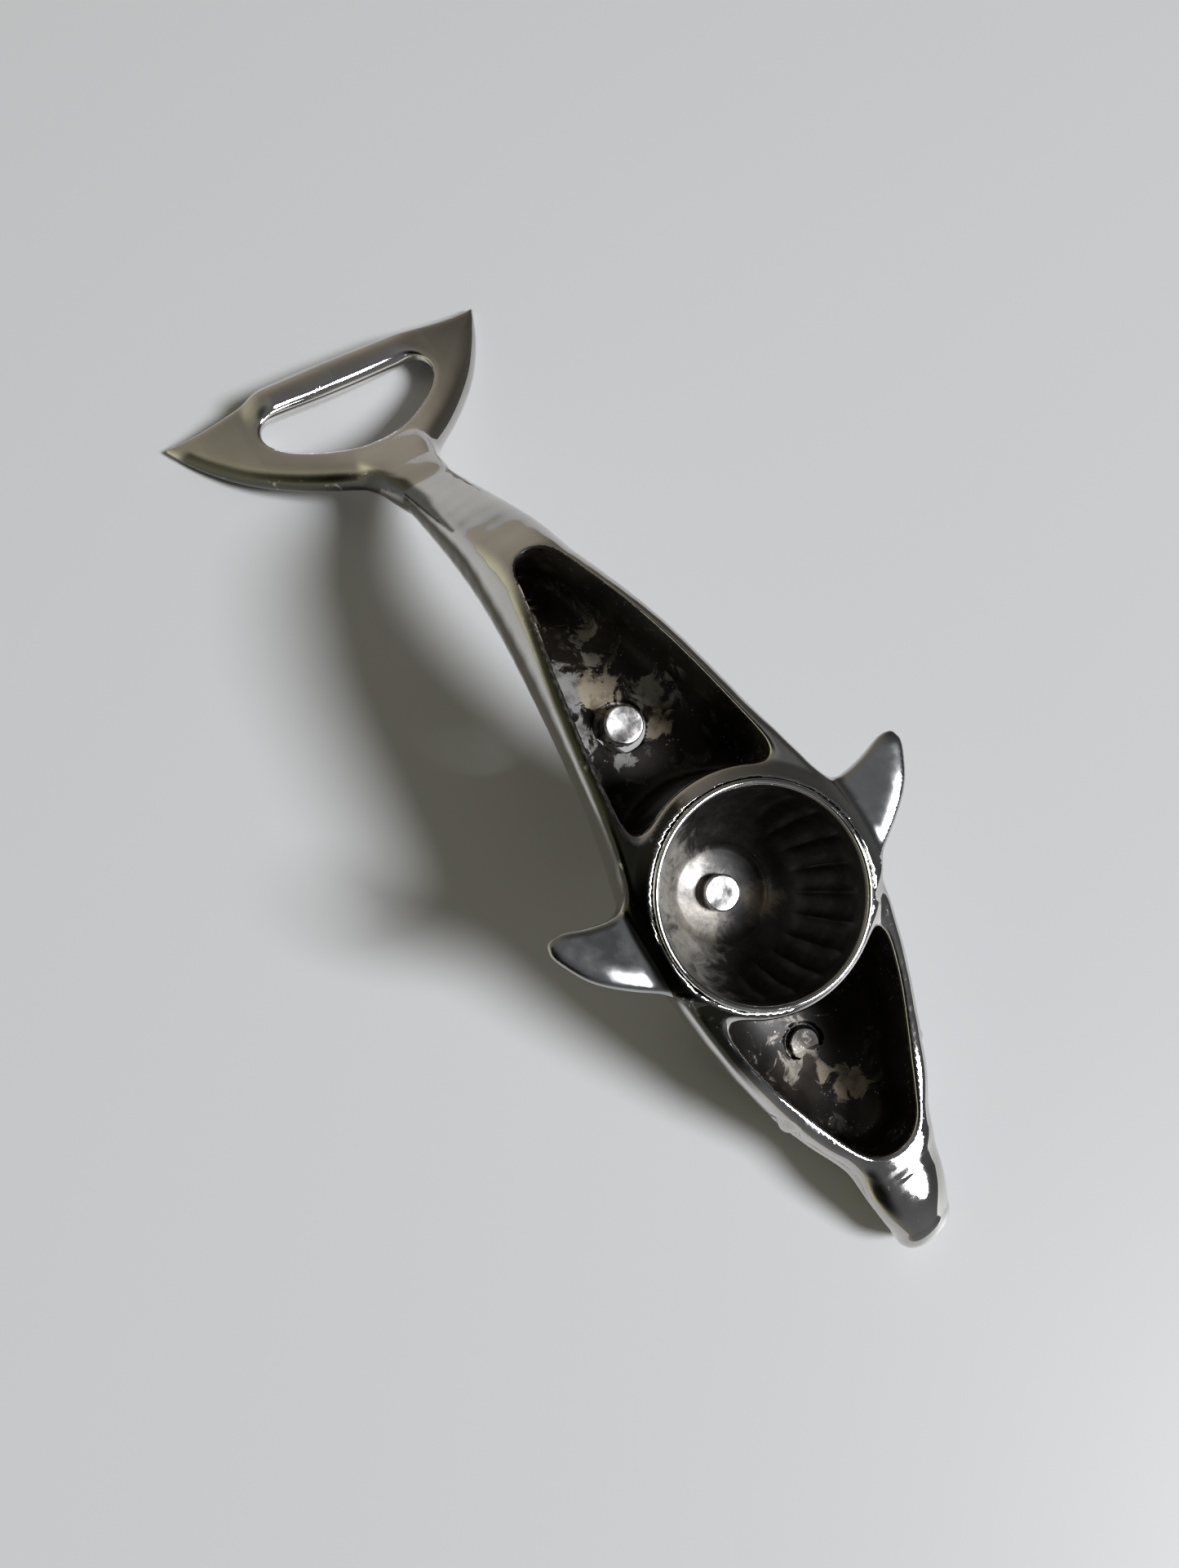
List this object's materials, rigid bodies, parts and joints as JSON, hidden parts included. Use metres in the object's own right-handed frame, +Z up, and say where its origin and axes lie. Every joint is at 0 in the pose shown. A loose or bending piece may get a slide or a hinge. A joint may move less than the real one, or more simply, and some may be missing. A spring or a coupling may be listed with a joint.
{
  "type": "bottle opener",
  "caption": "Cast bottle opener shaped like a dolphin lying belly up, with a cap-lifting eye between its flukes and a fluted cup for twist-off caps in its hollow belly.",
  "frame": {"origin": "middle of the object's length and width, on the surface that the nose and both fluke tips rest on", "axes": "+X along the length towards the tail, +Y towards the animal's left side, +Z up while it lies belly up"},
  "size_m": [0.184, 0.0664, 0.0393],
  "materials": {
    "polished_chrome": "polished chrome plating on zinc, lightly scuffed",
    "satin_chrome": "chrome plating with a fine satin mottle",
    "tarnished_chrome": "dull dark plating with brown tarnish",
    "bright_pad": "bright pad rubbed clear of tarnish"
  },
  "bodies": {
    "root": {"snout": "polished_chrome", "body_shell": "polished_chrome", "tail_stock": "polished_chrome", "opener_flukes": "polished_chrome", "left_flipper": "satin_chrome", "right_flipper": "satin_chrome", "dorsal_fin": "polished_chrome", "cap_grip_cup": "tarnished_chrome", "cup_pad": "bright_pad", "rear_pad": "bright_pad", "front_pad": "tarnished_chrome"}
  },
  "joints": []
}
